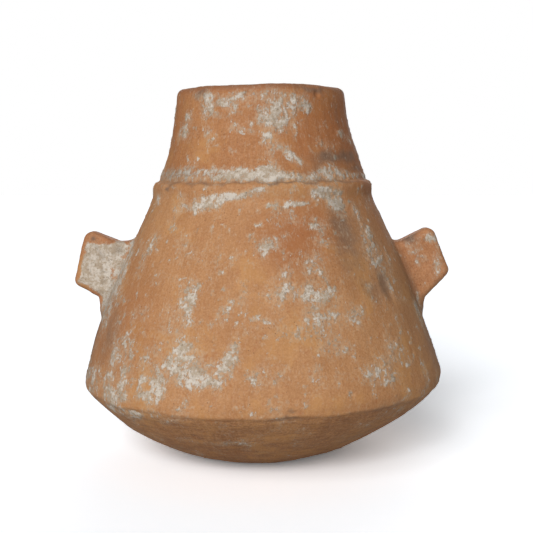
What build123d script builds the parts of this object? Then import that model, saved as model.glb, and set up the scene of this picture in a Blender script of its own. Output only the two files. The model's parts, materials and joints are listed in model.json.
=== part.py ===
"""Hand-built amphora with a shallow bowl base, a sharp shoulder edge, a tall tapering wall,
a ridged neck and two wing lugs. Millimetres, +Z up, front towards -Y, lugs along -X and +X.
The origin is on the standing surface, under the middle of the jar.

The jar is put together as its potter did: a base disc, a bowl band round it, bands of clay laid
on top of each other with bevelled joins, a cordon pressed over the foot of the neck, a neck
collar, a rim band, and two lugs tenoned into the wall.
"""
from build123d import *
import os
from math import hypot

# Driving dimensions
HEIGHT = 250.0            # standing surface to the top of the rim
BODY_RADIUS = 123.0       # at the shoulder edge, the widest part of the body
SHOULDER_HEIGHT = 55.0
FOOT_RADIUS = 34.0        # of the patch where the round bottom is worn flat
NECK_FOOT = (70.2, 191.5)  # radius and height in the groove above the cordon
RIM_RADIUS = 57.2
LIP_DROP = 4.0            # from the top of the rim to where its rounding starts
WALL = 9.0                # thickness of the body's wall
NECK_WALL = 8.0
FLOOR = 9.0               # thickness at the middle of the bottom
RING_TILT = 0.010         # the bands rise towards +X, in mm of height per mm of X

# Outer outline as (radius, height): three arcs, each through three points
BOWL_ARC = [(FOOT_RADIUS, 0.0), (83.7, 19.3), (BODY_RADIUS - 3.5, 47.5)]
WALL_ARC = [(BODY_RADIUS - 0.7, 60.0), (107.6, 103.6), (77.0, 173.0)]
NECK_ARC = [NECK_FOOT, (62.6, 214.5), (RIM_RADIUS, HEIGHT - LIP_DROP)]
CREST = [(75.2, 178.0), (74.6, 184.0)]    # the cordon's upright face
CORDON_SEAT = [(72.0, 175.5), (67.0, 187.0)]   # its hidden inner face
FLOOR_RISE = (0.72, 0.0, 0.70)            # direction of the inner floor where it meets the wall
INNER_CORNER_ROUND = 0.6                  # how far the corner inside the shoulder is hollowed

# Joins between the bands, from the bottom up, as (radius, height) outside and inside.
# Each is a bevel that slopes through the wall.
JOINS = [
    [(62.0, 9.0), (53.0, 17.5)],
    [(122.0, 50.0), (113.0, 60.0)],
    [(111.8, 93.0), (103.0, 99.0)],
    [(88.0, 150.5), (80.0, 145.0)],
    [(69.0, 184.0), (67.0, 174.0)],
    [(59.5, 232.0), (51.5, 237.0)],
]
JOIN_REACH = 30.0         # how far a join is drawn past both faces of the wall
BANDS = ["base_disc", "bowl_band", "lower_wall_band", "handle_band", "upper_wall_band",
         "neck_collar", "rim_band"]

# Lugs, drawn for +X in the XZ plane, with their roots well inside the wall
LUG_ROOT_HALF = 10.5      # half thickness where the lug meets the wall
LUG_TIP_HALF = 6.5
LUG_TAPER = (100.0, 131.5)  # radii between which the thickness changes
# Outline corners as (radius, height, rounding)
LEFT_LUG = [(84.0, 147.0, 0.0), (100.0, 147.0, 9.0), (119.8, 156.8, 7.0), (130.6, 117.5, 6.0),
            (113.0, 108.5, 10.0), (109.0, 97.5, 0.0), (84.0, 97.5, 0.0)]
RIGHT_LUG = [(84.0, 140.5, 0.0), (117.3, 156.0, 7.0), (130.6, 122.5, 6.0),
             (113.5, 105.0, 10.0), (109.0, 97.5, 0.0), (84.0, 97.5, 0.0)]
LUG_EDGE_ROUND = 4.0
SOCKET_DEPTH = 4.0        # how far each lug's tenon goes into the wall


def circle_through(a, b, c):
    """Centre and radius of the circle through three points."""
    d = 2 * (a[0] * (b[1] - c[1]) + b[0] * (c[1] - a[1]) + c[0] * (a[1] - b[1]))
    qa, qb, qc = (p[0] ** 2 + p[1] ** 2 for p in (a, b, c))
    x = (qa * (b[1] - c[1]) + qb * (c[1] - a[1]) + qc * (a[1] - b[1])) / d
    y = (qa * (c[0] - b[0]) + qb * (a[0] - c[0]) + qc * (b[0] - a[0])) / d
    return (x, y), hypot(a[0] - x, a[1] - y)


def inwards(points, thickness):
    """The arc through these points, moved towards the jar's axis by a thickness."""
    centre, radius = circle_through(*points)
    curves_away = centre[0] > points[1][0]
    factor = 1 + (thickness if curves_away else -thickness) / radius
    return [(centre[0] + (p[0] - centre[0]) * factor,
             centre[1] + (p[1] - centre[1]) * factor) for p in points]


def upright(points):
    """Points (radius, height) as 3-D points in the XZ plane."""
    return [Vector(p[0], 0, p[1]) for p in points]


def arc(points):
    return ThreePointArc(*upright(points))


def line(*points):
    return Polyline(*upright(points))


def face_inside(*curves):
    """The flat face inside a closed loop of curves."""
    edges = [edge for curve in curves for edge in curve.edges()]
    return Face(Wire(edges))


def turned(section):
    return revolve(section, Axis.Z, 360)


def wall_section():
    """The jar's section on one side of the axis. Its bottom is still round, and below the
    standing surface in the middle: it is cut flat once the jar has its tilt."""
    inner_bowl = inwards(BOWL_ARC, WALL)
    inner_wall = inwards(WALL_ARC, WALL)
    inner_neck = inwards(NECK_ARC, NECK_WALL)
    centre, radius = circle_through(*BOWL_ARC)
    bottom = (0.0, centre[1] - (radius ** 2 - centre[0] ** 2) ** 0.5)
    inner_corner = ((inner_bowl[2][0] + inner_wall[0][0]) / 2 + INNER_CORNER_ROUND,
                    (inner_bowl[2][1] + inner_wall[0][1]) / 2)
    floor = Spline(*upright([(0, FLOOR), inner_bowl[1], inner_bowl[2]]),
                   tangents=[(1, 0, 0), FLOOR_RISE])
    return face_inside(
        arc([bottom, BOWL_ARC[1], BOWL_ARC[2]]),
        arc([BOWL_ARC[2], (BODY_RADIUS, SHOULDER_HEIGHT), WALL_ARC[0]]),
        arc(WALL_ARC),
        line(WALL_ARC[2], *CREST, NECK_ARC[0]),
        arc(NECK_ARC),
        arc([NECK_ARC[2], (RIM_RADIUS - NECK_WALL / 2, HEIGHT), inner_neck[2]]),
        arc(inner_neck),
        line(inner_neck[0], inner_wall[2]),
        arc(inner_wall),
        arc([inner_wall[0], inner_corner, inner_bowl[2]]),
        floor,
        line((0, FLOOR), bottom),
    )


def cordon_section():
    """The strip pressed over the join at the foot of the neck, seated a little into the wall."""
    return face_inside(line(WALL_ARC[2], *CREST, NECK_FOOT, *reversed(CORDON_SEAT), WALL_ARC[2]))


def run_on(join):
    """A join's two ends, moved outwards and inwards along its own slope."""
    outside, inside = join
    slope = (inside[1] - outside[1]) / (inside[0] - outside[0])
    return [(outside[0] + JOIN_REACH, outside[1] + slope * JOIN_REACH),
            (inside[0] - JOIN_REACH, inside[1] - slope * JOIN_REACH)]


def bands():
    """The rings of the wall, each cut from the whole section between two joins."""
    section = wall_section() - cordon_section()
    far = 2 * BODY_RADIUS
    limits = [run_on(join) for join in JOINS]
    limits = [[(far, -far), (-far, -far)]] + limits + [[(far, HEIGHT + far), (-far, HEIGHT + far)]]
    made = {}
    for name, lower, upper in zip(BANDS, limits, limits[1:]):
        between = face_inside(line(*lower, *reversed(upper), lower[0]))
        made[name] = turned(section & between)
    return made


def lug(corners):
    """One wing lug towards +X, with the tenon that goes into the wall."""
    outline = Polygon(*[corner[:2] for corner in corners], align=None)
    for radius, height, rounding in corners:
        if rounding:
            nearest = outline.vertices().sort_by_distance((radius, height, 0))[0]
            outline = fillet(nearest, rounding)
    slab = extrude(Plane.XZ * outline, amount=2 * LUG_ROOT_HALF, both=True)
    start, end = LUG_TAPER
    plan = Polygon((0, -LUG_ROOT_HALF), (start, -LUG_ROOT_HALF), (end, -LUG_TIP_HALF),
                   (end, LUG_TIP_HALF), (start, LUG_ROOT_HALF), (0, LUG_ROOT_HALF), align=None)
    wing = slab & extrude(plan, amount=HEIGHT)
    front_and_back = [face for face in wing.faces() if abs(face.normal_at().Y) > 0.8]
    wing = fillet([edge for face in front_and_back for edge in face.edges()], LUG_EDGE_ROUND)
    seat = inwards(WALL_ARC, SOCKET_DEPTH)
    core = turned(face_inside(arc(seat), line(seat[2], (0, seat[2][1]), (0, seat[0][1]), seat[0])))
    return wing - core


def tilted(shape):
    """The shape with its rings tilted and its middle line still upright: a shear."""
    shear = Matrix([[1, 0, 0, 0], [0, 1, 0, 0], [RING_TILT, 0, 1, 0], [0, 0, 0, 1]])
    return shape.transform_geometry(shear)


def main():
    pieces = bands()
    pieces["neck_cordon"] = turned(cordon_section())
    pieces["lug_right"] = lug(RIGHT_LUG)
    pieces["lug_left"] = mirror(lug(LEFT_LUG), about=Plane.YZ)
    pieces["handle_band"] = pieces["handle_band"] - pieces["lug_right"] - pieces["lug_left"]
    pieces = {name: tilted(shape) for name, shape in pieces.items()}
    under_the_foot = Pos(0, 0, -HEIGHT / 2) * Box(HEIGHT, HEIGHT, HEIGHT)
    pieces["base_disc"] = pieces["base_disc"] - under_the_foot
    os.makedirs("parts", exist_ok=True)
    for name, shape in pieces.items():
        export_step(shape, f"parts/{name}.step")


main()
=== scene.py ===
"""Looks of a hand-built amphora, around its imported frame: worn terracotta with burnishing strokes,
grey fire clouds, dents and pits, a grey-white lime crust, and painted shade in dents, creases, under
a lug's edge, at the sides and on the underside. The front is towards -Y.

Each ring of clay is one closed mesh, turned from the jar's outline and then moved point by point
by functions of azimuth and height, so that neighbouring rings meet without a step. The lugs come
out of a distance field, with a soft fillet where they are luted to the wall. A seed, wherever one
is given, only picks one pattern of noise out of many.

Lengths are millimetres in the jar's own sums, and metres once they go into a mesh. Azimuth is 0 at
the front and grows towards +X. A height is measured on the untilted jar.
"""
import json
from math import atan2, cos, hypot, pi, radians, sin

import bpy
import numpy as np
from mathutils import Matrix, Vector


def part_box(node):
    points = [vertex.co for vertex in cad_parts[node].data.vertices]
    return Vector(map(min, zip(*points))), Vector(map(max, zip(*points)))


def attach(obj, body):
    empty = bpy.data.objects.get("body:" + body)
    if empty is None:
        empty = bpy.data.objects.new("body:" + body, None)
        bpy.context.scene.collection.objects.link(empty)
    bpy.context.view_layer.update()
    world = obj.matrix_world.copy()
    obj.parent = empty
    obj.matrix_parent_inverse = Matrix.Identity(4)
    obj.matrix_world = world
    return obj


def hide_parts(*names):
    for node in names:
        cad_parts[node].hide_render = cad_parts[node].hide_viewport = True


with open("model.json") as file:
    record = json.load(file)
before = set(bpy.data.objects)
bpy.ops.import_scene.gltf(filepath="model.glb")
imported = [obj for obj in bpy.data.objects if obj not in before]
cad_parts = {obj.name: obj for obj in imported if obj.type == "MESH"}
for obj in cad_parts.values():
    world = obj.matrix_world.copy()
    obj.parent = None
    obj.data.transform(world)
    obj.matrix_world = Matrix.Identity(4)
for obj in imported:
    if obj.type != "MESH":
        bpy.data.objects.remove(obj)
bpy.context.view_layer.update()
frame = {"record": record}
SLOTS = {part["node"]: part["material_slot"] for part in frame["record"]["subparts"]}

# ------------ sizes
METRE = 1000.0  # millimetres in a metre
body_low, body_high = (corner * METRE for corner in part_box("lower_wall_band"))
rim_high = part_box("rim_band")[1] * METRE
BODY_RADIUS = (body_high.x - body_low.x) / 2
TILT = 0.010  # the rings rise towards +X, in height per length along X
LIP_MIDDLE_RADIUS = 53.2
HEIGHT = rim_high.z - TILT * LIP_MIDDLE_RADIUS
WALL = 9.0
NECK_WALL = 8.0
FLOOR = 9.0

# The outline as (radius, height): arcs through three points, and the cordon's short curve
SHOULDER_START = (BODY_RADIUS - 3.5, 47.5)
SHOULDER_END = (BODY_RADIUS - 0.7, 60.0)
WALL_END = (77.0, 173.0)
NECK_START = (70.2, 191.5)
NECK_END = (57.2, HEIGHT - 4.0)
BOWL_ARC = [(34.0, 0.0), (83.7, 19.3), SHOULDER_START]
SHOULDER_ARC = [SHOULDER_START, (BODY_RADIUS, 55.0), SHOULDER_END]
WALL_ARC = [SHOULDER_END, (107.6, 103.6), WALL_END]
CORDON = [WALL_END, (75.3, 178.0), (75.3, 184.6), (74.1, 187.2), (71.0, 189.3), NECK_START]
NECK_ARC = [NECK_START, (62.6, 214.5), NECK_END]
LIP_ARC = [NECK_END, (LIP_MIDDLE_RADIUS, HEIGHT), (49.2, HEIGHT - 4.7)]
FLOOR_EDGE = (20.0, FLOOR + 0.6)  # where the hollow's curve runs out into its flat floor
OUTLINE_STEP = 0.2  # spacing of the points that the outline is kept as
CORNER_SOFTNESS = 0.9  # over what length the outline's corners are rounded

# Joins between the rings, from the outside of the wall to the inside
DISC_JOIN = [(62.0, 9.0), (53.0, 17.5)]
BOWL_JOIN = [(122.0, 50.0), (113.0, 60.0)]
LOWER_JOIN = [(111.8, 93.0), (103.0, 99.0)]
UPPER_JOIN = [(88.0, 150.5), (80.0, 145.0)]
NECK_JOIN = [(68.8, 182.9), (67.2, 174.0)]
SEAT_LOW = (72.0, 175.5)  # the two corners of the cordon's seat in the wall
SEAT_HIGH = (67.0, 187.0)
UNDER_CORDON = [WALL_END, SEAT_LOW, *NECK_JOIN]
OVER_CORDON = [NECK_START, SEAT_HIGH, *NECK_JOIN]
CORDON_SEAT = [NECK_START, SEAT_HIGH, SEAT_LOW, WALL_END]
RIM_JOIN = [(59.5, 232.0), (51.5, 237.0)]

# Mesh density
COLUMNS = 720
OUTER_ROW = 1.1
INNER_ROW = 3.0
JOIN_ROW = 4.0  # across the joins, which stay out of sight
AXIS_HOLE = 1.5  # a disc's rows stop this far from the axis, at one point
LUG_CELL = 0.8
AZIMUTHS = np.linspace(-pi, pi, COLUMNS, endpoint=False)


# ------------ noise
GRADIENTS = np.random.default_rng(11).normal(size=(256, 3))
GRADIENTS /= np.linalg.norm(GRADIENTS, axis=1)[:, None]
SCATTER = np.array([73856093, 19349663, 83492791])  # odd numbers that mix a cell's place
SEED_SCATTER = 2654435
LAST_SCATTER = 668265263
NOISE_GAIN = 1.6  # brings the noise to about -1 to 1
FINER = 2.03  # how much finer and fainter each further layer of noise is
FAINTER = 0.5


def noise(points, seed):
    """Smooth gradient noise at points, about -1 to 1, with features one unit across."""
    cell = np.floor(points).astype(np.int64)
    inside = points - cell
    fade = inside ** 3 * (inside * (inside * 6 - 15) + 10)
    total = np.zeros(len(points))
    for corner in np.ndindex(2, 2, 2):
        at = cell + np.array(corner)
        along_x, along_y, along_z = (at * SCATTER).T
        mixed = along_x ^ along_y ^ along_z ^ seed * SEED_SCATTER
        gradient = GRADIENTS[((mixed ^ mixed >> 11) * LAST_SCATTER >> 7) % len(GRADIENTS)]
        weight = np.prod(np.where(corner, fade, 1 - fade), axis=1)
        total += weight * np.einsum("ij,ij->i", gradient, inside - np.array(corner))
    return total * NOISE_GAIN


def layered(points, seed, layers=3):
    """Noise with finer and fainter noise on top."""
    total = np.zeros(len(points))
    for layer in range(layers):
        total += noise(points * FINER ** layer, seed + layer) * FAINTER ** layer
    return total


def ramp(value, low, high):
    """0 below low, 1 above high, smooth between."""
    t = np.clip((value - low) / (high - low), 0, 1)
    return t * t * (3 - 2 * t)


def bump(value, middle, width):
    """1 at the middle, dying away on both sides."""
    return np.exp(-((value - middle) / width) ** 2)


def wrapped(angle):
    """The same direction, from -pi to pi."""
    return (angle + pi) % (2 * pi) - pi


def on_the_jar(azimuth, radius, height):
    """Places on the jar, to sample noise at, in millimetres."""
    return np.column_stack([np.sin(azimuth) * radius, -np.cos(azimuth) * radius, height])


def drawn_out(azimuth, up, around, rise):
    """Places to sample noise at where it is stretched one way: around is how often it changes in
    one radian, and rise is how far up it takes to change."""
    return np.column_stack([np.sin(azimuth) * around, np.cos(azimuth) * around, up / rise])


# ------------ the outline
def circle_through(a, b, c):
    """The centre and radius of the circle through three points."""
    d = 2 * (a[0] * (b[1] - c[1]) + b[0] * (c[1] - a[1]) + c[0] * (a[1] - b[1]))
    qa, qb, qc = (p[0] ** 2 + p[1] ** 2 for p in (a, b, c))
    x = (qa * (b[1] - c[1]) + qb * (c[1] - a[1]) + qc * (a[1] - b[1])) / d
    y = (qa * (c[0] - b[0]) + qb * (a[0] - c[0]) + qc * (b[0] - a[0])) / d
    return (x, y), hypot(a[0] - x, a[1] - y)


def inwards(points, thickness):
    """The arc through these points, moved towards the jar's axis by a thickness."""
    centre, radius = circle_through(*points)
    curves_away = centre[0] > points[1][0]
    factor = 1 + (thickness if curves_away else -thickness) / radius
    return [(centre[0] + (p[0] - centre[0]) * factor,
             centre[1] + (p[1] - centre[1]) * factor) for p in points]


def arc(a, b, c):
    """Points along the arc from a to c through b."""
    centre, radius = circle_through(a, b, c)
    start, middle, end = (atan2(p[1] - centre[1], p[0] - centre[0]) for p in (a, b, c))
    turn = float(wrapped(middle - start)) + float(wrapped(end - middle))
    steps = max(2, int(abs(turn) * radius / OUTLINE_STEP))
    angles = start + turn * np.linspace(0, 1, steps + 1)
    return np.column_stack([centre[0] + radius * np.cos(angles), centre[1] + radius * np.sin(angles)])


def along(points, step):
    """Evenly spaced points along a line of points."""
    points = np.asarray(points, float)
    length = np.concatenate([[0], np.cumsum(np.hypot(*np.diff(points, axis=0).T))])
    even = np.linspace(0, length[-1], max(2, int(round(length[-1] / step)) + 1))
    return np.column_stack([np.interp(even, length, points[:, i]) for i in (0, 1)])


def softened(points, width):
    """A line of points with its corners rounded over a width, its ends kept."""
    reach = int(3 * width / OUTLINE_STEP)
    kernel = np.exp(-(np.arange(-reach, reach + 1) * OUTLINE_STEP / width) ** 2)
    kernel /= kernel.sum()
    before = 2 * points[0] - points[reach:0:-1]
    after = 2 * points[-1] - points[-2:-reach - 2:-1]
    longer = np.vstack([before, points, after])
    return np.column_stack([np.convolve(longer[:, i], kernel, "valid") for i in (0, 1)])


class Skin:
    """The jar's whole surface as one line, from the middle of its bottom over the lip to the
    middle of its floor, measured by its length."""

    def __init__(self):
        centre, radius = circle_through(*BOWL_ARC)
        bottom = (0.0, centre[1] - (radius ** 2 - centre[0] ** 2) ** 0.5)
        inner_bowl = inwards(BOWL_ARC, WALL)
        inner_wall = inwards(WALL_ARC, WALL)
        inner_neck = inwards(NECK_ARC, NECK_WALL)
        outer = np.vstack([
            arc(bottom, *BOWL_ARC[1:]), arc(*SHOULDER_ARC), arc(*WALL_ARC),
            along(CORDON, OUTLINE_STEP), arc(*NECK_ARC), arc(*LIP_ARC),
            arc(*reversed(inner_neck)), arc(*reversed(inner_wall)),
            arc(inner_bowl[2], inner_bowl[1], FLOOR_EDGE),
            along([FLOOR_EDGE, (0.0, FLOOR)], OUTLINE_STEP),
        ])
        self.points = softened(along(outer, OUTLINE_STEP), CORNER_SOFTNESS)
        steps = np.hypot(*np.diff(self.points, axis=0).T)
        self.length = np.concatenate([[0], np.cumsum(steps)])
        self.lip = self.length[np.argmax(self.points[:, 1])]
        slope = np.gradient(self.points, axis=0)
        slope /= np.linalg.norm(slope, axis=1)[:, None]
        self.normal = np.column_stack([slope[:, 1], -slope[:, 0]])
        outside = self.length <= self.lip
        self.outer_heights = self.points[outside, 1]
        self.outer_radii = self.points[outside, 0]
        self.outer_lengths = self.length[outside]

    def nearest(self, point, inner):
        """The length at the point of the surface nearest to a join's end."""
        far = np.hypot(*(self.points - np.array(point)).T)
        far[(self.length > self.lip) != inner] = np.inf
        return self.length[np.argmin(far)]

    def at(self, length):
        """Radius, height, both parts of the normal, and the length itself."""
        columns = [self.points[:, 0], self.points[:, 1], self.normal[:, 0], self.normal[:, 1],
                   self.length]
        return np.column_stack([np.interp(length, self.length, column) for column in columns])

    def radius_at(self, height):
        """Radius of the outside at a height."""
        return np.interp(height, self.outer_heights, self.outer_radii)

    def length_at(self, height):
        """Length up the outside to a height."""
        return np.interp(height, self.outer_heights, self.outer_lengths)


skin = Skin()


# ------------ stains, wear and painted shade
PATCH_FALLOFF = 0.6  # how fast a patch fades, from its middle outwards
LIME_HARDNESS = 1.5  # a greater hardness is a flatter middle and a steeper edge
SOFT = 1.0  # the hardness of the soot-and-shade and ruddy-and-shade patches

# Each patch is listed as: azimuth in degrees, height, half width, half height, strength, and
# where it leans, by how many degrees. A patch with a positive lean rises towards +X.
LIME_ON_NECK = [
    (-31, 241, 8, 4, 0.55), (-21, 240, 7, 4, 0.5), (-17, 234, 3, 4, 0.5), (-36, 234, 3, 4, 0.4),
    (-27, 231, 7, 2, 0.4), (-52.5, 221, 4, 5, 0.65), (-51, 230, 6, 5, 0.45), (-33, 220, 3, 4, 0.55),
    (-30, 213, 3.5, 3, 0.45), (-15, 222, 4, 2, 0.5), (-8, 220, 5, 2, 0.5), (-5, 225, 2.5, 2, 0.45),
    (5, 240, 14, 6, 0.55), (22, 239, 12, 5, 0.55), (30, 234, 5, 3, 0.5), (8, 226, 9, 6, 0.85, -15),
    (13, 232, 7, 5, 0.7), (3, 215.5, 4, 2.8, 0.85, -25), (8.5, 211, 4.4, 2.8, 0.9, -30),
    (14, 206, 4.4, 3.2, 0.92, -35), (19, 201.5, 4, 2.8, 0.88, -35), (19.5, 217, 2, 4, 0.5),
]
LIME_UNDER_CORDON = [
    (-31, 174, 7, 4.5, 0.8, 10), (-24, 176, 9, 4.5, 0.8, 10), (-17, 179, 8, 3.2, 0.8, 8),
    (-10, 181, 6, 2, 0.7, 8), (-3, 183, 5, 1.2, 0.5, 5), (-43, 173, 6, 6, 0.45),
    (-64, 178, 6, 3.5, 0.5), (2.7, 174.5, 2.2, 1.8, 0.98), (6, 175, 1.6, 2.4, 0.95),
    (12, 174.5, 2.2, 1.6, 0.95), (17, 174.5, 5, 1.6, 0.98), (21, 174.5, 2, 1.4, 0.8),
    (14, 181, 1.6, 4, 0.55), (27, 180, 4, 3, 0.7), (33, 179, 10, 4.5, 0.8, -20),
    (38, 173, 6, 4.5, 0.75), (31, 183, 7, 1.5, 0.5), (42, 181, 4, 1.5, 0.6),
]
LIME_ON_WALL = [
    (50, 168, 4, 6, 0.6), (52, 150, 8, 8, 0.55), (53, 138, 8, 8, 0.5), (54.5, 123, 3, 10, 0.55, 20),
    (63, 138, 5, 6, 0.35), (-51.5, 148, 3, 7, 0.65, -35), (-42, 159.5, 5, 2.5, 0.5),
    (-31, 145, 6, 6, 0.35), (3.5, 151, 7, 4, 0.6), (0.5, 146, 4, 4, 0.5), (23, 159.5, 4, 2.5, 0.5),
    (-26, 120, 6, 10, 0.6), (-25, 114, 5, 5, 0.5), (-32, 101, 7, 9, 0.4), (7, 124, 6, 6, 0.6),
    (6, 118, 3.5, 4, 0.5), (18.5, 136, 6, 7, 0.5), (20, 121, 13, 6, 0.7, -10), (16, 118, 5, 6, 0.5),
    (18.5, 104, 9, 8, 0.62), (32.5, 105, 6, 6, 0.55), (0, 107, 7, 2.2, 0.6, -10),
    (-6, 120, 2, 14, 0.3), (-17, 138, 2, 16, 0.3), (-56, 101, 6, 4, 0.35), (-56, 89, 5, 6, 0.35),
    (-48, 91, 8, 5, 0.45, -20), (-34, 88, 4, 4, 0.35), (-80, 140, 14, 9, 0.8),
    (-82, 123, 18, 13, 0.92), (-80, 107, 17, 9, 0.9), (-69, 124, 6, 18, 0.5), (-70, 96, 9, 8, 0.5),
]
LIME_NEAR_SHOULDER = [
    (-24, 86, 11, 8, 0.62), (-24, 76, 16, 7, 0.75, -5), (-18, 71, 9, 4, 0.5),
    (-11.5, 81, 8, 5, 0.65, 20), (-9, 90, 4, 7, 0.52, -15), (-37.5, 67, 3, 6, 0.8),
    (-35, 60.5, 8, 3, 0.9), (-31, 65, 5, 5.5, 0.85), (-34.5, 70.5, 6, 2.4, 0.75),
    (-13.5, 72, 6, 3, 0.5), (-2, 74, 7, 5, 0.55, -15), (-53, 67, 6, 16, 0.6),
    (-45, 69, 6, 14, 0.65), (-48, 56, 12, 5, 0.7), (-65, 61, 15, 10, 0.55), (-78, 66, 9, 9, 0.45),
    (-51, 82, 6, 6, 0.4), (22, 90, 11, 6, 0.4), (37, 71, 14, 5, 0.52), (41, 66, 6, 4, 0.5),
    (46, 83, 9, 7, 0.35), (59.5, 65, 4, 4, 0.45), (11, 60, 3, 2, 0.35), (-47, 46, 16, 4, 0.65),
    (-39, 47, 5, 2.5, 0.7), (-9, 30, 14, 2, 0.45), (48, 44, 8, 3, 0.35),
]
# Grey fire clouds, with painted shade among them: the lines at heights 50.8, 51 and 54.5 under the
# shoulder's edge and in its chip, the spots in the dents at heights 121 and 124 and in the pit at
# azimuth -53.5, the line in the groove at 188.2, and the broad patches at azimuths 86 and -84 that
# darken the sides.
SOOT_AND_SHADE = [
    (44, 203, 14, 3.5, 0.9, -3), (62, 204, 8, 3, 0.7), (64, 195.5, 10, 2.2, 0.7),
    (31, 198, 4, 4, 0.5), (-42, 247, 6, 3, 0.8), (36, 248, 12, 2.5, 0.8), (30, 235, 2, 12, 0.3),
    (58, 232, 3, 16, 0.4), (24, 193, 4, 5, 0.4), (38.5, 158, 9, 14, 0.75), (35, 140, 10, 11, 0.38),
    (44, 121, 7, 7, 0.6), (51, 124, 5, 9, 0.75), (8, 50.8, 10, 1.3, 0.6), (8.5, 54.5, 3, 0.9, 0.6),
    (40, 51, 22, 1.8, 0.45), (-53.5, 185, 2.6, 1.6, 0.95), (86, 80, 24, 50, 0.6),
    (-84, 75, 19, 40, 0.75), (-60, 92, 12, 17, 0.5), (150, 120, 34, 26, 0.8, 20),
    (165, 205, 14, 12, 0.6), (-140, 75, 20, 12, 0.4), (-54, 193, 22, 4, 0.6),
    (10, 188.2, 70, 0.9, 0.75),
]
# Redder firing; the patch at azimuth -72 is painted shade, darkening the left side
RUDDY_AND_SHADE = [
    (35, 238, 22, 10, 0.6), (62, 225, 25, 20, 0.9), (24, 214, 10, 14, 0.5), (75, 195, 25, 30, 0.8),
    (18, 159, 20, 13, 0.9), (10, 145, 12, 10, 0.65), (-52, 100, 22, 26, 0.5),
    (-72, 90, 16, 40, 0.45), (-70, 225, 14, 24, 0.45), (120, 170, 30, 30, 0.6),
    (-120, 130, 30, 40, 0.5),
]
DENT_HARDNESS = 1.5
# Dents, pits and chips: as a patch, with a depth in millimetres for its strength
DENTS = [
    (-54, 186, 2.6, 2.2, 1.2), (26, 62, 1.8, 1.8, 0.7), (-20, 104, 1.6, 1.6, 0.6),
    (-30, 155, 1.6, 1.6, 0.6), (-8, 244, 2.0, 2.0, 0.9), (40, 244, 2.4, 2.4, 0.9),
    (8, 50.6, 13, 1.6, 0.5), (9, 54.5, 3.5, 0.9, 0.6, -8), (43, 121, 8, 5, 1.0, -20),
    (52, 120, 4, 10, 0.8, 20), (38, 158, 7, 16, 0.5), (-4, 68, 16, 5, 0.4),
    (-34, 51, 14, 1.8, 0.6, 4), (30, 248, 9, 2.5, 0.7), (-40, 248, 8, 2.5, 0.6),
    (-12, 168, 24, 10, 0.3, 8), (24, 96, 18, 14, 0.4),
]
# The groove's crust: azimuth in degrees, height of its middle, half height, strength
GROOVE_CRUST = np.array([
    (-180, 192.0, 2.5, 0.6), (-120, 192.0, 3.0, 0.8), (-75, 193.0, 4.0, 0.4),
    (-50, 193.0, 4.4, 0.48), (-30, 193.0, 3.6, 0.6), (-12, 192.5, 3.8, 0.95), (6, 193.0, 4.8, 1.05),
    (14, 191.5, 2.8, 0.7), (24, 190.5, 2.0, 0.6), (36, 192.5, 4.4, 0.72), (48, 192.5, 3.4, 0.62),
    (60, 190.5, 2.0, 0.42), (110, 191.0, 2.5, 0.7), (180, 192.0, 2.5, 0.6),
])
CRUST_FALLOFF = 0.7
CRUST_SETS_IN = (187.6, 189.6)  # heights between which it begins, above the ridge


def scattered(count, seed, strength):
    """Patches on the sides and back, where the listed ones stop."""
    random = np.random.default_rng(seed)
    made = []
    for _ in range(count):
        azimuth = random.uniform(74, 286)
        height = random.uniform(25, 245)
        half_width = random.uniform(2, 9)
        half_height = half_width * random.uniform(0.4, 1.5)
        lean = random.uniform(-30, 30)
        own_strength = strength * random.uniform(0.4, 1)
        made.append((azimuth, height, half_width, half_height, own_strength, lean))
    return made


def distance_in(patch, azimuth, radius, height, warp=None):
    """How far points are from a patch's middle, squared, with its edge at 1."""
    at, middle, half_width, half_height = patch[:4]
    lean = radians(sum(patch[5:]))
    across = wrapped(azimuth - radians(at)) * radius
    up = height - middle
    if warp is not None:
        across = across + warp[:, 0]
        up = up + warp[:, 1]
    sideways = (across * cos(lean) + up * sin(lean)) / half_width
    upright = (up * cos(lean) - across * sin(lean)) / half_height
    return sideways ** 2 + upright ** 2


def patch_field(azimuth, radius, height, warp, patches, hardness):
    """How strongly patches cover each point, 0 to 1. warp moves their edges about."""
    bare = np.ones(len(azimuth))
    for patch in patches:
        far = distance_in(patch, azimuth, radius, height, warp)
        bare *= 1 - patch[4] * np.exp(-PATCH_FALLOFF * far ** hardness)
    return 1 - bare


def groove_crust(azimuth, height):
    """How strongly lime fills the groove over the ridge."""
    degrees = np.degrees(wrapped(azimuth))
    middle, half, strength = (np.interp(degrees, GROOVE_CRUST[:, 0], GROOVE_CRUST[:, i])
                              for i in (1, 2, 3))
    filled = np.exp(-CRUST_FALLOFF * np.abs((height - middle) / half) ** 3)
    return strength * filled * ramp(height, *CRUST_SETS_IN)


def covered(*layers):
    """How much several layers cover together."""
    bare = 1
    for layer in layers:
        bare = bare * (1 - layer)
    return 1 - bare


def crusted(lime, flakes):
    """Where there is so much lime that it stands out as a crust, 0 to 1."""
    return ramp(lime + 0.35 * flakes, 0.35, 0.75)


BACK_LIME = scattered(70, seed=3, strength=0.8)
ALL_LIME = LIME_ON_NECK + LIME_UNDER_CORDON + LIME_ON_WALL + LIME_NEAR_SHOULDER + BACK_LIME

# How strongly each kind of stain covers the clay, 0 to 1
LIME_COVER = 0.9
HAZE_COVER = 0.36
SPOT_COVER = 0.5
SEDIMENT_COVER = 0.6  # on the inside
LIP_WEAR = 0.5  # how much of the lime is rubbed off the lip
LIP_REDNESS = 0.9
LIP_SOOT = 0.45
EDGE_WANDER = 1.7  # how far the patches' edges wander, in millimetres


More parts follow.
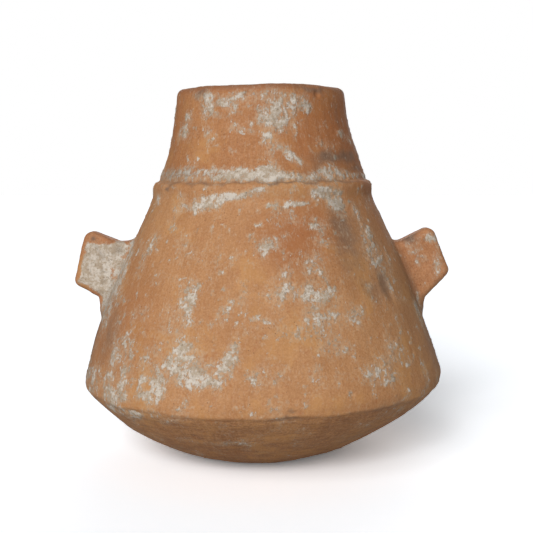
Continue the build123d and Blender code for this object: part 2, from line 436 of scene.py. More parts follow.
def stains(azimuth, radius, height, inner):
    """The lime, soot-and-shade and ruddy-and-shade fields of points on the jar. inner is 1 on inside
    faces.
    """
    place = on_the_jar(azimuth, radius, height)
    outside = 1 - inner
    warp = np.column_stack([layered(place / 9, seed) for seed in (21, 31)]) * EDGE_WANDER

    lime = LIME_COVER * patch_field(azimuth, radius, height, warp, ALL_LIME, LIME_HARDNESS)
    lime = covered(lime, groove_crust(azimuth, height + warp[:, 1] * 0.4))
    lime *= np.clip(0.92 + 0.55 * layered(place / 5, seed=201, layers=2), 0.35, 1.25)
    haze = ramp(layered(place / 14, seed=41), -0.2, 0.9) * HAZE_COVER
    spots = ramp(layered(place / 5.5, seed=221), 0.25, 0.9) * SPOT_COVER * ramp(height, 40, 60)
    sediment = ramp(layered(place / 12, seed=51), -0.1, 0.7) * SEDIMENT_COVER
    lime = covered(lime, haze, spots) * outside + sediment * inner

    # grey and redder patches, some of which the tables above mark as painted shade
    soot_and_shade = patch_field(azimuth, radius, height, warp * 1.5, SOOT_AND_SHADE, SOFT) * outside
    ruddy_and_shade = patch_field(azimuth, radius, height, warp * 2, RUDDY_AND_SHADE, SOFT) * outside
    lip = ramp(height, HEIGHT - 6.0, HEIGHT - 1.5) * outside
    lime *= 1 - LIP_WEAR * lip
    return lime, np.maximum(soot_and_shade, LIP_SOOT * lip), np.maximum(ruddy_and_shade, LIP_REDNESS * lip)


# ------------ the hand-made shape
# All lengths here are millimetres
OVAL = [(2, 0.6, 0.4), (3, 2.0, 0.3)]  # swellings in one turn, phase, amount
# Bulges: azimuth in degrees, half width in radians, height, half height, amount
BULGES = [(80, 0.8, 33, 14, 2.6), (-85, 0.6, 88, 22, 1.2)]
BROAD_FOOT = 3.2  # how far the foot stands out, up to the second height
BROAD_FOOT_HEIGHTS = (2, 26)
FOOT_OFFSET = -0.9  # how far the foot's middle is off the axis, along X
# How the middle shifts along X on its way up: between two heights, by an amount
SWAY = [(4, 28, -2.2), (16, 46, 3.1), (44, 62, 1.7), (66, 100, -0.8), (205, 235, -1.3)]
RIM_SLOPE = 0.02  # how much more the rim tilts than the rings below it
RIM_DROOP = 1.9  # how far the rim sags, towards which azimuth, and over what width
RIM_DROOP_AT = radians(75)
RIM_DROOP_WIDTH = 0.75
RIM_HEIGHTS = (215, 246)  # the rim's own slope sets in between these
# Lines round the jar: height, half height, how far they stand out, and how much they wander
LEDGE_LINES = [(51.8, 1.3, 0.55, 1.0), (48.8, 1.6, -0.3, 1.0), (188.6, 0.9, -0.7, 0.5)]
NEAR_AXIS = 45.0  # the unevenness fades out from this radius to the axis
FOOT_SOFTNESS = 0.6  # rounding where the jar is worn flat


def swell(azimuth, height):
    """How far the hand-made wall stands out from the true outline."""
    out = sum(amount * np.cos(times * azimuth + phase) for times, phase, amount in OVAL)
    for at, half_width, middle, half_height, amount in BULGES:
        beside = wrapped(azimuth - radians(at))
        out = out + amount * bump(beside, 0, half_width) * bump(height, middle, half_height)
    out = out + BROAD_FOOT * (1 - ramp(height, *BROAD_FOOT_HEIGHTS))
    return out + 0.5 * layered(drawn_out(azimuth, height, around=1.6, rise=60), seed=61)


def sway(height):
    """How far the middle of the jar is off the axis, along X."""
    return FOOT_OFFSET + sum(amount * ramp(height, low, high) for low, high, amount in SWAY)


def lift(azimuth, radius, height):
    """How far the rings wander up and down."""
    waves = 0.6 * noise(drawn_out(azimuth, height, around=1.4, rise=50), seed=71)
    rim = RIM_SLOPE * radius * np.sin(azimuth)
    rim -= RIM_DROOP * bump(wrapped(azimuth - RIM_DROOP_AT), 0, RIM_DROOP_WIDTH)
    return waves + rim * ramp(height, *RIM_HEIGHTS)


def pitted(count, seed):
    """Small pits all over the jar."""
    random = np.random.default_rng(seed)
    made = []
    for _ in range(count):
        size = random.uniform(1.2, 2.2)
        azimuth = random.uniform(-180, 180)
        height = random.uniform(20, 245)
        made.append((azimuth, height, size, size, random.uniform(0.3, 0.7)))
    return made


ALL_DENTS = DENTS + pitted(90, seed=5)


def dent_depth(azimuth, radius, height):
    """How deep the dents and pits are."""
    depth = np.zeros(len(azimuth))
    for dent in ALL_DENTS:
        depth += dent[4] * np.exp(-distance_in(dent, azimuth, radius, height) ** DENT_HARDNESS)
    return depth


def relief(azimuth, radius, height, length, inner, lime):
    """How far the surface stands out along its own normal."""
    place = on_the_jar(azimuth, radius, height)
    strokes = noise(drawn_out(azimuth, length, around=11, rise=45), seed=81)
    fingers = noise(drawn_out(azimuth, length, around=2.2, rise=11), seed=121)
    lumps = layered(place / 24, seed=91, layers=2)
    grain = layered(place / 5, seed=101, layers=2)
    flakes = layered(place / 3.2, seed=111, layers=2)
    crust = crusted(lime, flakes) * (0.35 + 0.18 * flakes)
    outside = 0.35 * lumps + 0.16 * strokes + 0.09 * grain + crust
    wandering = 0.8 * noise(place / 15, seed=211)
    for middle, half, amount, wander in LEDGE_LINES:
        outside += amount * bump(height, middle + wander * wandering, half)
    outside -= dent_depth(azimuth, radius, height)
    inside = 0.7 * fingers + 0.4 * lumps + 0.12 * grain
    return outside * (1 - inner) + inside * inner


def placed(azimuth, radius, height):
    """Points of the jar, in metres, from places on its true shape."""
    off_axis = ramp(radius, 0, NEAR_AXIS)
    risen = height + lift(azimuth, radius, height) * off_axis
    radius = radius + swell(azimuth, height) * off_axis
    x = radius * np.sin(azimuth)
    z = risen + TILT * x
    z = (z + np.sqrt(z ** 2 + FOOT_SOFTNESS ** 2)) / 2
    return np.column_stack([x + sway(height), -radius * np.cos(azimuth), z]) / METRE


# ------------ meshes
def in_scene(name, data):
    """A new object of the scene."""
    made = bpy.data.objects.new(name, data)
    bpy.context.scene.collection.objects.link(made)
    return made


def new_piece(name, points, faces, fields, normals=None):
    """A mesh object with smooth faces, and its fields as point attributes."""
    mesh = bpy.data.meshes.new(name)
    mesh.from_pydata(points, [], faces)
    mesh.validate()
    mesh.polygons.foreach_set("use_smooth", np.ones(len(mesh.polygons), bool))
    for field, values in fields.items():
        kind = "FLOAT_VECTOR" if values.ndim == 2 else "FLOAT"
        attribute = mesh.attributes.new(field, kind, "POINT")
        attribute.data.foreach_set("vector" if values.ndim == 2 else "value", values.ravel())
    mesh.update()
    if normals is not None:
        mesh.normals_split_custom_set_from_vertices(normals)
    return in_scene(name, mesh)


STROKES_RADIUS = 100  # strokes are drawn as on a cylinder of this radius


def surface_fields(azimuth, radius, height, length, inner, proud):
    """The attributes that the clay's material reads. proud is how far a point stands out."""
    lime, soot_and_shade, ruddy_and_shade = stains(azimuth, radius, height, inner)
    reach = STROKES_RADIUS + proud
    strokes = np.column_stack([np.sin(azimuth) * reach, -np.cos(azimuth) * reach, length])
    return {"lime": lime, "soot_and_shade": soot_and_shade, "ruddy_and_shade": ruddy_and_shade, "inside": inner, "strokes": strokes / METRE}


def unit(vectors):
    return vectors / np.maximum(np.linalg.norm(vectors, axis=-1, keepdims=True), 1e-12)


def skin_grid(start, end, spacing):
    """The finished surface between two lengths, all the way round: points, normals and fields,
    row by row. A row beyond each end goes into the normals, so that shading runs on over joins."""
    count = max(2, int(round(abs(end - start) / spacing)) + 1)
    lengths, step = np.linspace(start, end, count, retstep=True)
    rows = skin.at(np.concatenate([[start - step], lengths, [end + step]]))
    azimuth = np.tile(AZIMUTHS, len(rows))
    radius, height, out, up, length = (np.repeat(column, COLUMNS) for column in rows.T)
    inner = (length > skin.lip).astype(float)
    fields = surface_fields(azimuth, radius, height, length, inner, np.zeros(len(radius)))
    move = relief(azimuth, radius, height, length, inner, fields["lime"])
    points = placed(azimuth, radius + out * move, height + up * move).reshape(-1, COLUMNS, 3)
    across = np.roll(points, -1, 1) - np.roll(points, 1, 1)
    normals = unit(np.cross(across[1:-1], points[2:] - points[:-2]))
    kept = slice(COLUMNS, -COLUMNS)
    return (points[1:-1].reshape(-1, 3), normals.reshape(-1, 3),
            {name: values[kept] for name, values in fields.items()})


def join_grid(join, below, above):
    """Rows across a join, inside the clay. below and above are the grids that it connects."""
    start = below[0][-COLUMNS:]
    end = above[0][:COLUMNS]
    middle = [placed(AZIMUTHS, np.full(COLUMNS, radius), np.full(COLUMNS, height))
              for radius, height in join[1:-1]]
    stops = [start, *middle, end]
    rows = []
    for before, after in zip(stops, stops[1:]):
        apart = np.linalg.norm(after - before, axis=1).mean() * METRE
        shares = np.linspace(0, 1, max(2, int(apart / JOIN_ROW) + 1))[1:]
        rows += [before + (after - before) * share for share in shares]
    points = np.vstack(rows[:-1])
    fields = {name: np.resize(values[-COLUMNS:], (len(points),) + values.shape[1:])
              for name, values in below[2].items()}
    return points, np.zeros(points.shape), fields


def grid_faces(rows, closed):
    """Quads between rows of COLUMNS points, and from the last row to the first when closed."""
    first = np.arange(COLUMNS)
    second = np.roll(first, -1)
    faces = []
    for row in range(rows if closed else rows - 1):
        low, high = row * COLUMNS, (row + 1) % rows * COLUMNS
        faces.append(np.column_stack([low + first, low + second, high + second, high + first]))
    return np.vstack(faces).tolist()


def turned_piece(name, grids, closed):
    """A ring, or a disc that reaches the axis at both ends of its section."""
    points, normals = (np.vstack([grid[i] for grid in grids]) for i in (0, 1))
    fields = {key: np.concatenate([grid[2][key] for grid in grids]) for key in grids[0][2]}
    faces = grid_faces(len(points) // COLUMNS, closed)
    if not closed:
        last = len(points) - COLUMNS
        bottom, top = len(points), len(points) + 1
        ends = np.vstack([points[:COLUMNS].mean(axis=0), points[last:].mean(axis=0)])
        points = np.vstack([points, ends])
        normals = np.vstack([normals, [(0, 0, -1), (0, 0, 1)]])
        fields = {key: np.concatenate([values, values[[0, last]]]) for key, values in fields.items()}
        for column in range(COLUMNS):
            after = (column + 1) % COLUMNS
            faces.append([bottom, after, column])
            faces.append([last + column, last + after, top])
    return new_piece(name, points, faces, fields, normals)


def ring(name, lower, upper):
    """A ring between two joins, each listed from outside to inside."""
    outer = skin_grid(skin.nearest(lower[0], False), skin.nearest(upper[0], False), OUTER_ROW)
    inner = skin_grid(skin.nearest(upper[-1], True), skin.nearest(lower[-1], True), INNER_ROW)
    over = join_grid(upper, outer, inner)
    under = join_grid(lower[::-1], inner, outer)
    return turned_piece(name, [outer, over, inner, under], True)


def disc(name, upper):
    """The bottom: one skin from the axis outwards, the other back to the axis."""
    outer = skin_grid(AXIS_HOLE, skin.nearest(upper[0], False), OUTER_ROW)
    inner = skin_grid(skin.nearest(upper[-1], True), skin.length[-1] - AXIS_HOLE, INNER_ROW)
    return turned_piece(name, [outer, join_grid(upper, outer, inner), inner], False)


def rim(name, lower):
    """The topmost ring, whose skin runs over the lip."""
    over_the_lip = skin_grid(skin.nearest(lower[0], False), skin.nearest(lower[-1], True), OUTER_ROW)
    under = join_grid(lower[::-1], over_the_lip, over_the_lip)
    return turned_piece(name, [over_the_lip, under], True)


def cordon(name, seat):
    """The pressed-on strip, which only shows its outside."""
    outer = skin_grid(skin.nearest(seat[-1], False), skin.nearest(seat[0], False), OUTER_ROW)
    return turned_piece(name, [outer, join_grid(seat, outer, outer)], True)


# ------------ lugs
# Outline corners as (distance out, height), each rounded afterwards by LUG_CORNER
LEFT_LUG = [(80.0, 147.3), (100.0, 147.0), (121.4, 156.2), (125.6, 144.0), (131.6, 118.0),
            (113.8, 108.8), (112.0, 95.5), (80.0, 95.5)]
RIGHT_LUG = [(80.0, 138.5), (98.0, 146.7), (117.0, 156.3), (130.4, 123.4), (113.2, 106.2),
             (110.5, 96.0), (80.0, 96.0)]
LUG_CORNER = 6.0  # rounding of the outline's corners
LUG_EDGE = 4.5  # rounding from the front face to the back face
LUG_ROOT_HALF = 10.0  # half its thickness at the wall, and at the tip
LUG_TIP_HALF = 6.3
LUG_THINS = (98, 128)  # distances out between which it thins
PRESSED_IN = 0.9  # the hollow that the potter's fingers left in each face
LUTING = 7.0  # width of the fillet onto the wall
FILLET_DEPTH = 0.5  # how far inside the wall the fillet runs out
TENON = 4.0  # depth of the hidden root inside the wall
ROOT_REACH = 13.0  # how far the root spreads past the lug's own outline
ROOT_ROUNDING = 2.5
WALL_SLOPE = 0.91  # distance from the leaning wall, for each unit along the radius
LUG_BOX = np.array([(76.0, -26.0, 76.0), (136.0, 26.0, 172.0)])
LUG_CRUST = 0.3  # thickness of the lime on a lug


def polygon_distance(x, z, corners):
    """Signed distance to a polygon, negative inside."""
    nearest = np.full(x.shape, np.inf)
    inside = np.zeros(x.shape, bool)
    for (ax, az), (bx, bz) in zip(corners, corners[1:] + corners[:1]):
        ex, ez = bx - ax, bz - az
        px, pz = x - ax, z - az
        t = np.clip((px * ex + pz * ez) / (ex * ex + ez * ez), 0, 1)
        nearest = np.minimum(nearest, np.hypot(px - ex * t, pz - ez * t))
        crosses = (az <= z) != (bz <= z)
        where = px - ex * pz / (ez if ez else 1e-9)
        inside ^= crosses & (where < 0)
    return np.where(inside, -nearest, nearest)


def inset(corners, distance):
    """An outline's corners moved inwards along their bisectors."""
    moved = []
    count = len(corners)
    for i in range(count):
        before, here, after = (np.array(corners[(i + k) % count]) for k in (-1, 0, 1))
        one = (here - before) / np.linalg.norm(here - before)
        two = (after - here) / np.linalg.norm(after - here)
        normal_one = np.array([one[1], -one[0]])
        normal_two = np.array([two[1], -two[0]])
        middle = normal_one + normal_two
        moved.append(tuple(here + middle * distance / (1 + normal_one @ normal_two)))
    return moved


def spot(x, z, middle, halves):
    """A soft spot on a lug's face: its middle, and half its width and height."""
    return bump(x, middle[0], halves[0]) * bump(z, middle[1], halves[1])


def merged(one, other, width):
    """The union of two distance fields, with the crease between them filled over a width."""
    share = np.clip(0.5 + 0.5 * (other - one) / width, 0, 1)
    return other + (one - other) * share - width * share * (1 - share)


def lug_field(x, y, z, outline):
    """Distance field of one lug on the untilted jar, with x counted outwards."""
    flat = polygon_distance(x, z, inset(outline, LUG_CORNER)) - LUG_CORNER
    half = LUG_ROOT_HALF + (LUG_TIP_HALF - LUG_ROOT_HALF) * ramp(x, *LUG_THINS)
    half = half - PRESSED_IN * spot(x, z, (110, 130), (9, 16))
    across = np.abs(y) - half + LUG_EDGE
    down = flat + LUG_EDGE
    wing = np.hypot(np.maximum(across, 0), np.maximum(down, 0)) - LUG_EDGE
    wing += np.minimum(np.maximum(across, down), 0)
    wall = (np.hypot(x, y) - skin.radius_at(z)) * WALL_SLOPE
    under_wall = wall + FILLET_DEPTH
    joined = merged(wing, under_wall, LUTING)
    root = -merged(-joined, wall + TENON, ROOT_ROUNDING)
    return -merged(-root, ROOT_REACH - wing, ROOT_ROUNDING)


def surface_net(field, origin, step):
    """Points and quads of the surface where a sampled field is zero."""
    sums = np.zeros(field.shape + (3,))
    counts = np.zeros(field.shape)
    quads = []
    cells = np.array(field.shape) - 1
    for axis in range(3):
        others = [(axis + 1) % 3, (axis + 2) % 3]
        low = np.take(field, range(field.shape[axis] - 1), axis)
        high = np.take(field, range(1, field.shape[axis]), axis)
        edges = np.argwhere((low < 0) != (high < 0))
        keep = np.all(edges[:, others] > 0, axis=1) & np.all(edges[:, others] < cells[others], axis=1)
        edges = edges[keep]
        a = low[tuple(edges.T)]
        b = high[tuple(edges.T)]
        crossing = edges.astype(float)
        crossing[:, axis] += a / (a - b)
        around = []
        for p, q in ((0, 0), (1, 0), (1, 1), (0, 1)):
            cell = edges.copy()
            cell[:, others[0]] -= p
            cell[:, others[1]] -= q
            np.add.at(sums, tuple(cell.T), crossing)
            np.add.at(counts, tuple(cell.T), 1)
            around.append(np.ravel_multi_index(tuple(cell.T), field.shape))
        around = np.column_stack(around)
        leaving = a < 0
        quads.append(np.where(leaving[:, None], around, around[:, ::-1]))
    used = np.flatnonzero(counts.ravel())
    index = np.full(counts.size, -1)
    index[used] = np.arange(len(used))
    points = sums.reshape(-1, 3)[used] / counts.ravel()[used, None]
    return origin + points * step, index[np.vstack(quads)]


def lug_lime(x, y, z, side):
    """The crust on a lug: the left one's front face is nearly all white inside a bare border."""
    cover = layered(np.column_stack([x, y * 0.5, z]) / 7, seed=131)
    if side > 0:
        marks = spot(x, z, (118, 147), (4, 4)) + 0.8 * spot(x, z, (121, 129), (3, 10))
        return np.clip(0.75 * marks + 0.45 * ramp(cover, 0.0, 0.9), 0, 1)
    border = polygon_distance(x, z, LEFT_LUG) + 1.6 * cover
    border -= 5 * bump(x, 99, 5) * ramp(z, 136, 146)
    bare_top = ramp(z + 1.5 * cover, 144.5, 148.5) * ramp(x, 99, 106)
    bare_corner = 0.9 * spot(x, z, (124, 114), (6, 3.5))
    worn = 0.95 * spot(x, z, (102, 125), (3.5, 5.5))
    face = ramp(-border, 2.0, 5.0) * (1 - bare_top) * (1 - bare_corner)
    front = 0.3 + 0.85 * ramp(-y, -1, 4)
    return np.clip(face * front * (1 - worn) + 0.15 * cover, 0, 1.1)


def lug_soot_and_shade(points, side):
    """Grey smudges on a lug's front face, and painted shade: a band under the right lug's top edge
    near the wall, and a dark spot for a small pit near the left lug's top.
    """
    x, y, z = points.T
    if side > 0:
        # painted shade: a dark band under the right lug's top edge, near the wall
        darkening = bump(x, 101, 6) * ramp(z, 141, 147)
    else:
        # the spot at (117, 149.5) is painted shade for a small pit; the other two are grey smudges
        darkening = np.max([0.9 * spot(x, z, (117, 149.5), (2.2, 2.0)),
                         0.7 * spot(x, z, (99, 142), (3, 3.5)),
                         0.4 * ramp(layered(points / 5, seed=171), 0.2, 0.8)], axis=0)
    return darkening * ramp(-y, 2, 7)


def lug(name, side, outline):
    """side is -1 for the lug towards -X and 1 for the one towards +X."""
    low, high = LUG_BOX
    counts = np.ceil((high - low) / LUG_CELL).astype(int)
    x, y, z = np.meshgrid(*(low[i] + LUG_CELL * np.arange(counts[i]) for i in range(3)), indexing="ij")
    points, faces = surface_net(lug_field(x, y, z, outline), low, LUG_CELL)
    lumps = 0.45 * layered(points / 13 + 7 * side, seed=141)
    lumps += 0.15 * layered(points / 4, seed=151, layers=2)
    points[:, 0] += lumps * ramp(points[:, 0], 100, 112)
    points[:, 1] += lumps * np.sign(points[:, 1]) * ramp(points[:, 0], 96, 108)

    x, y, z = points.T
    azimuth = np.arctan2(x, -y)
    if side < 0:
        azimuth = -azimuth
        faces = faces[:, ::-1]
    radius = np.hypot(x, y)
    proud = radius - skin.radius_at(z)
    fields = surface_fields(azimuth, radius, z, skin.length_at(z), np.zeros(len(points)), proud)
    away = ramp(proud, 2, 6)
    own = lug_lime(x, y, z, side)
    fields["lime"] = fields["lime"] * (1 - away) + own * away
    fields["soot_and_shade"] = np.maximum(fields["soot_and_shade"] * (1 - away), lug_soot_and_shade(points, side))
    crust = crusted(own, layered(points / 3.2, seed=161, layers=2)) * LUG_CRUST * away
    radius = np.hypot(x, y + np.sign(y) * crust)
    return new_piece(name, placed(azimuth, radius, z), faces.tolist(), fields)


# ------------ material
def colour(red, green, blue):
    """A colour given as it looks on screen, 0 to 255, as linear numbers for a shader."""
    return tuple(((c / 255 + 0.055) / 1.055) ** 2.4 if c > 10 else c / 255 / 12.92
                 for c in (red, green, blue)) + (1.0,)


class Nodes:
    """Short calls for building a material's node tree."""

    def __init__(self, tree):
        self.tree = tree

    def link(self, value, socket):
        if isinstance(value, bpy.types.NodeSocket):
            self.tree.links.new(value, socket)
        else:
            socket.default_value = value

    def add(self, kind, **settings):
        node = self.tree.nodes.new(kind)
        for key, value in settings.items():
            setattr(node, key, value)
        return node

    def attribute(self, name, output="Fac"):
        return self.add("ShaderNodeAttribute", attribute_name=name).outputs[output]

    def math(self, operation, a, b, clamp=False):
        node = self.add("ShaderNodeMath", operation=operation, use_clamp=clamp)
        self.link(a, node.inputs[0])
        self.link(b, node.inputs[1])
        return node.outputs[0]

    def plus(self, a, b):
        return self.math("ADD", a, b)

    def share(self, a, b):
        """One value times another, kept within 0 to 1."""
        return self.math("MULTIPLY", a, b, clamp=True)

    def weighed(self, *terms):
        """The sum of values, each times its weight."""
        total = 0.0
        for value, weight in terms:
            total = self.plus(total, self.math("MULTIPLY", value, weight))
        return total

    def centred(self, noise, strength):
        """Noise, which lies about 0.5, as a push either way."""
        return self.math("MULTIPLY", self.math("SUBTRACT", noise, 0.5), strength)

    def drawn_out(self, vector, upright, lean=0.0):
        """Places to sample at where patterns are stretched up, by an upright under 1, or flattened."""
        node = self.add("ShaderNodeMapping")
        self.link(vector, node.inputs["Vector"])
        node.inputs["Rotation"].default_value = (0.0, lean, 0.0)
        node.inputs["Scale"].default_value = (1.0, 1.0, upright)
        return node.outputs[0]

    def noise(self, vector, scale, detail=3, rough=0.6, distortion=0.0):
        node = self.add("ShaderNodeTexNoise")
        self.link(vector, node.inputs["Vector"])
        settings = {"Scale": scale, "Detail": detail, "Roughness": rough, "Distortion": distortion}
        for key, value in settings.items():
            node.inputs[key].default_value = value
        return node.outputs["Fac"]

    def cells(self, vector, scale):
        node = self.add("ShaderNodeTexVoronoi")
        self.link(vector, node.inputs["Vector"])
        node.inputs["Scale"].default_value = scale
        return node.outputs["Distance"]

    def between(self, value, low, high, most=1.0, least=0.0):
        """Goes smoothly from least, where the value is low, to most, where it is high."""
        node = self.add("ShaderNodeMapRange", interpolation_type="SMOOTHSTEP")
        for i, number in enumerate((value, low, high, least, most)):
            self.link(number, node.inputs[i])
        return node.outputs[0]

    def mix(self, factor, a, b):
        """Two colours, whose sockets come after the node's sockets for numbers and vectors."""
        node = self.add("ShaderNodeMix", data_type="RGBA")
        self.link(factor, node.inputs[0])
        self.link(a, node.inputs[6])
        self.link(b, node.inputs[7])
        return node.outputs[2]


RUDDY_AND_SHADE_CLAY = colour(163, 98, 56)
SOOT_AND_SHADE_CLAY = colour(112, 95, 82)
OCHRE_CLAY = colour(200, 147, 90)
RUSTY_CLAY = colour(166, 101, 58)
DUSTY_CLAY = colour(128, 94, 68)
PORE = colour(86, 52, 34)
LIME_DUST = colour(200, 180, 155)
LIME_DARK = colour(176, 161, 141)
LIME_LIGHT = colour(214, 207, 196)
LIME_SPECK = colour(100, 80, 62)
GREY_DIRT_AND_SHADE = colour(126, 111, 94)


def clay(name, light, middle, dark, wiped):
    """Burnished terracotta with its stains. The three colours are its own range. wiped is the
    strength of ochre and brown streaks that run round the jar."""
    material = bpy.data.materials.new(name)
    material.use_nodes = True
    n = Nodes(material.node_tree)
    shader = n.tree.nodes["Principled BSDF"]
    place = n.add("ShaderNodeNewGeometry").outputs["Position"]
    strokes = n.attribute("strokes", "Vector")
    lime, soot_and_shade, ruddy_and_shade, inside = (n.attribute(field) for field in ("lime", "soot_and_shade", "ruddy_and_shade", "inside"))

    # clay body: broad clouds, mottling, and strokes up the wall and slanting across it
    clouds = n.noise(place, scale=24, rough=0.5, distortion=0.6)
    mottling = n.noise(place, scale=130, detail=4)
    grain = n.noise(place, scale=820, rough=0.7)
    upright = n.noise(n.drawn_out(strokes, 0.07), scale=620)
    slanting = n.noise(n.drawn_out(strokes, 0.09, lean=0.42), scale=430)
    tone = n.weighed((clouds, 0.55), (mottling, 0.45))
    body = n.mix(0.5, n.mix(n.between(tone, 0.38, 0.62), dark, light), middle)
    shade = n.weighed((upright, 0.16), (slanting, 0.19), (grain, 0.65))
    body = n.mix(n.between(shade, 0.36, 0.64), n.mix(0.62, body, dark), n.mix(0.45, body, light))

    # ochre clouds, rusty flecks, streaks, redder firing, grey clouds, painted shade, and the dusty
    # inside
    ochre = n.noise(place, scale=34, detail=4, distortion=0.4)
    body = n.mix(n.between(ochre, 0.50, 0.66, most=0.45), body, OCHRE_CLAY)
    rust = n.noise(place, scale=260, detail=5, rough=0.72)
    body = n.mix(n.between(rust, 0.55, 0.68, most=0.5), body, RUSTY_CLAY)
    if wiped:
        streaks = n.noise(n.drawn_out(place, 6), scale=75, detail=5, rough=0.7, distortion=0.9)
        body = n.mix(n.between(streaks, 0.50, 0.62, most=wiped), body, OCHRE_CLAY)
        body = n.mix(n.between(streaks, 0.50, 0.38, most=wiped), body, dark)
    # redder clay; at the left side it is painted shade
    body = n.mix(n.share(ruddy_and_shade, 0.75), body, RUDDY_AND_SHADE_CLAY)
    # grey clay: fire clouds, and painted shade in the dents, the pit, the groove, under the shoulder
    # and at the sides
    cloud_and_shade_edge = n.plus(soot_and_shade, n.centred(mottling, 0.6))
    body = n.mix(n.between(cloud_and_shade_edge, 0.05, 1.0, most=0.8), body, SOOT_AND_SHADE_CLAY)
    body = n.mix(n.share(inside, 0.55), body, DUSTY_CLAY)

    # grit: small dark pores
    pore = n.between(n.cells(place, scale=330), 0.17, 0.07)
    gritty = n.between(n.noise(place, scale=70, detail=2, rough=0.55), 0.46, 0.62, most=0.55)
    body = n.mix(n.share(pore, gritty), body, PORE)

    # lime: a thin dust everywhere, then a film, then flaky crust where there is more of it
    flakes = n.noise(place, scale=300, detail=7, rough=0.72, distortion=0.5)
    fine = n.noise(n.drawn_out(strokes, 0.4), scale=900, rough=0.65)
    speckle = n.noise(place, scale=560, detail=4, rough=0.7)
    rubbed = n.plus(n.centred(fine, 1.3), n.centred(speckle, 1.3))
    dust = n.between(n.plus(lime, rubbed), 0.0, 0.75, most=0.5)
    flaked = n.plus(n.centred(flakes, 2.6), n.centred(fine, 1.0))
    crust = n.between(n.plus(lime, flaked), 0.46, 0.66, most=0.85)
    lime_tone = n.weighed((mottling, 0.5), (speckle, 0.5))
    lime_colour = n.mix(n.between(lime_tone, 0.42, 0.58), LIME_DARK, LIME_LIGHT)
    body = n.mix(dust, body, LIME_DUST)
    body = n.mix(crust, body, lime_colour)
    # the crust greys where the grey field lies, which is partly painted shade
    body = n.mix(n.share(soot_and_shade, n.math("MULTIPLY", crust, 0.9)), body, GREY_DIRT_AND_SHADE)
    specks = n.between(n.noise(place, scale=640), 0.58, 0.68)
    body = n.mix(n.share(specks, dust), body, LIME_SPECK)
    n.link(body, shader.inputs["Base Color"])

    rough = n.between(upright, 0.3, 0.7, most=0.80, least=0.62)
    rough = n.math("ADD", rough, n.math("MULTIPLY", crust, 0.15), clamp=True)
    n.link(rough, shader.inputs["Roughness"])
    shader.inputs["Specular IOR Level"].default_value = 0.28

    heights = n.weighed((upright, 0.28), (slanting, 0.32), (grain, 0.65), (mottling, 0.5),
                        (pore, -0.25), (crust, n.plus(flakes, 0.4)))
    bumps = n.add("ShaderNodeBump")
    bumps.inputs["Strength"].default_value = 0.55
    bumps.inputs["Distance"].default_value = 0.0005
    n.link(heights, bumps.inputs["Height"])
    n.link(bumps.outputs[0], shader.inputs["Normal"])
    return material


# Each clay's light, middle and dark colour, and how strongly it is streaked
CLAYS = {
    "wall_clay": ((199, 150, 106), (187, 137, 92), (164, 111, 69), 0.0),
    "neck_clay": ((192, 138, 94), (180, 124, 80), (155, 100, 58), 0.0),
    # underside_clay: browner clay with streaks, and its darker dark colour is painted shade on the
    # downward-facing bowl
    "underside_clay": ((202, 151, 104), (184, 133, 88), (140, 93, 60), 0.42),
    "lug_clay": ((196, 144, 102), (180, 126, 86), (156, 102, 66), 0.0),
}
MATERIALS = {name: clay(name, *(colour(*shade) for shade in shades), wiped)
             for name, (*shades, wiped) in CLAYS.items()}


# ------------ the pieces
def finish_piece(piece, node):
    """A piece stands for a CAD node, and takes its material from that node's slot."""
    slot = SLOTS[node]
    piece.data.materials.append(MATERIALS[slot])
    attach(piece, "root")
    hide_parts(node)


RINGS = [
    ("bowl_band", DISC_JOIN, BOWL_JOIN),
    ("lower_wall_band", BOWL_JOIN, LOWER_JOIN),
    ("handle_band", LOWER_JOIN, UPPER_JOIN),
    ("upper_wall_band", UPPER_JOIN, UNDER_CORDON),
    ("neck_collar", OVER_CORDON, RIM_JOIN),
]
finish_piece(disc("base_disc_clay", DISC_JOIN), "base_disc")
for node, lower, upper in RINGS:
    finish_piece(ring(node + "_clay", lower, upper), node)
finish_piece(cordon("neck_cordon_clay", CORDON_SEAT), "neck_cordon")
finish_piece(rim("rim_band_clay", RIM_JOIN), "rim_band")
finish_piece(lug("lug_left_clay", -1, LEFT_LUG), "lug_left")
finish_piece(lug("lug_right_clay", 1, RIGHT_LUG), "lug_right")


# ------------ camera, floor and light
WHITE = (1.0, 1.0, 1.0, 1.0)
FLOOR_AS_SEEN = (1.46, 1.51, 1.57, 1.0)
FLOOR_AS_A_REFLECTOR = (0.60, 0.60, 0.60, 1.0)
FLOOR_GLOW = 0.12  # only seen by the camera: it lightens the shadow at the foot
FLOOR_HALF = 6.0  # metres
FILL_LIGHT = 0.13
CAMERA_PLACE = (0.0038, -0.693, 0.198)
LOOKS_DOWN = 5.74  # degrees


def add_camera():
    """In front of the jar, level with its neck, looking a little down."""
    data = bpy.data.cameras.new("camera")
    data.sensor_width = 36.0
    data.lens = 67.54
    camera = in_scene("camera", data)
    camera.location = CAMERA_PLACE
    camera.rotation_euler = (radians(90 - LOOKS_DOWN), 0, 0)
    bpy.context.scene.camera = camera


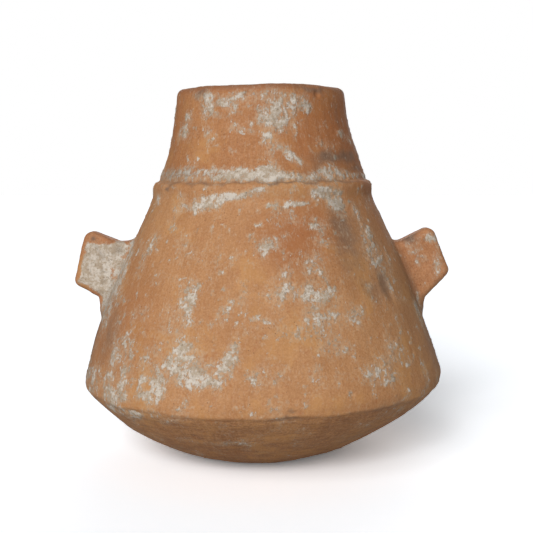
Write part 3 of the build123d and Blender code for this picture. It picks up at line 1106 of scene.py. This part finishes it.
def add_floor():
    """White paper. It looks brighter than it lights the jar, so that it stays white."""
    mesh = bpy.data.meshes.new("floor")
    corners = [(x * FLOOR_HALF, y * FLOOR_HALF, 0) for x, y in ((-1, -1), (1, -1), (1, 1), (-1, 1))]
    mesh.from_pydata(corners, [], [range(len(corners))])
    floor = in_scene("floor", mesh)
    paper = bpy.data.materials.new("floor_paper")
    paper.use_nodes = True
    n = Nodes(paper.node_tree)
    seen = n.add("ShaderNodeLightPath").outputs["Is Camera Ray"]
    matt = n.add("ShaderNodeBsdfDiffuse")
    n.link(n.mix(seen, FLOOR_AS_A_REFLECTOR, FLOOR_AS_SEEN), matt.inputs["Color"])
    glow = n.add("ShaderNodeEmission")
    n.link(n.math("MULTIPLY", seen, FLOOR_GLOW), glow.inputs["Strength"])
    both = n.add("ShaderNodeAddShader")
    n.link(matt.outputs[0], both.inputs[0])
    n.link(glow.outputs[0], both.inputs[1])
    n.link(both.outputs[0], n.tree.nodes["Material Output"].inputs["Surface"])
    mesh.materials.append(paper)


def add_sun(name, strength, spread, azimuth, elevation):
    """A wide soft sun. Its azimuth is where it shines from, counted as on the jar."""
    data = bpy.data.lights.new(name, "SUN")
    data.energy = strength
    data.angle = radians(spread)
    sun = in_scene(name, data)
    sun.rotation_euler = (radians(90 - elevation), 0, radians(azimuth))


def add_world():
    """A faint even light on everything, and a white backdrop that only the camera sees."""
    world = bpy.data.worlds.new("studio")
    world.use_nodes = True
    bpy.context.scene.world = world
    n = Nodes(world.node_tree)
    fill = n.tree.nodes["Background"]
    backdrop = n.add("ShaderNodeBackground")
    for light, strength in ((fill, FILL_LIGHT), (backdrop, 1.0)):
        light.inputs["Color"].default_value = WHITE
        light.inputs["Strength"].default_value = strength
    mix = n.add("ShaderNodeMixShader")
    n.link(n.add("ShaderNodeLightPath").outputs["Is Camera Ray"], mix.inputs[0])
    n.link(fill.outputs[0], mix.inputs[1])
    n.link(backdrop.outputs[0], mix.inputs[2])
    n.link(mix.outputs[0], n.tree.nodes["World Output"].inputs["Surface"])


add_camera()
add_floor()
add_sun("front", strength=1.75, spread=25, azimuth=-12, elevation=26)
add_sun("side", strength=0.98, spread=30, azimuth=-30, elevation=34)
add_sun("back", strength=1.2, spread=50, azimuth=172, elevation=16)
add_world()
bpy.context.scene.view_settings.view_transform = "Standard"
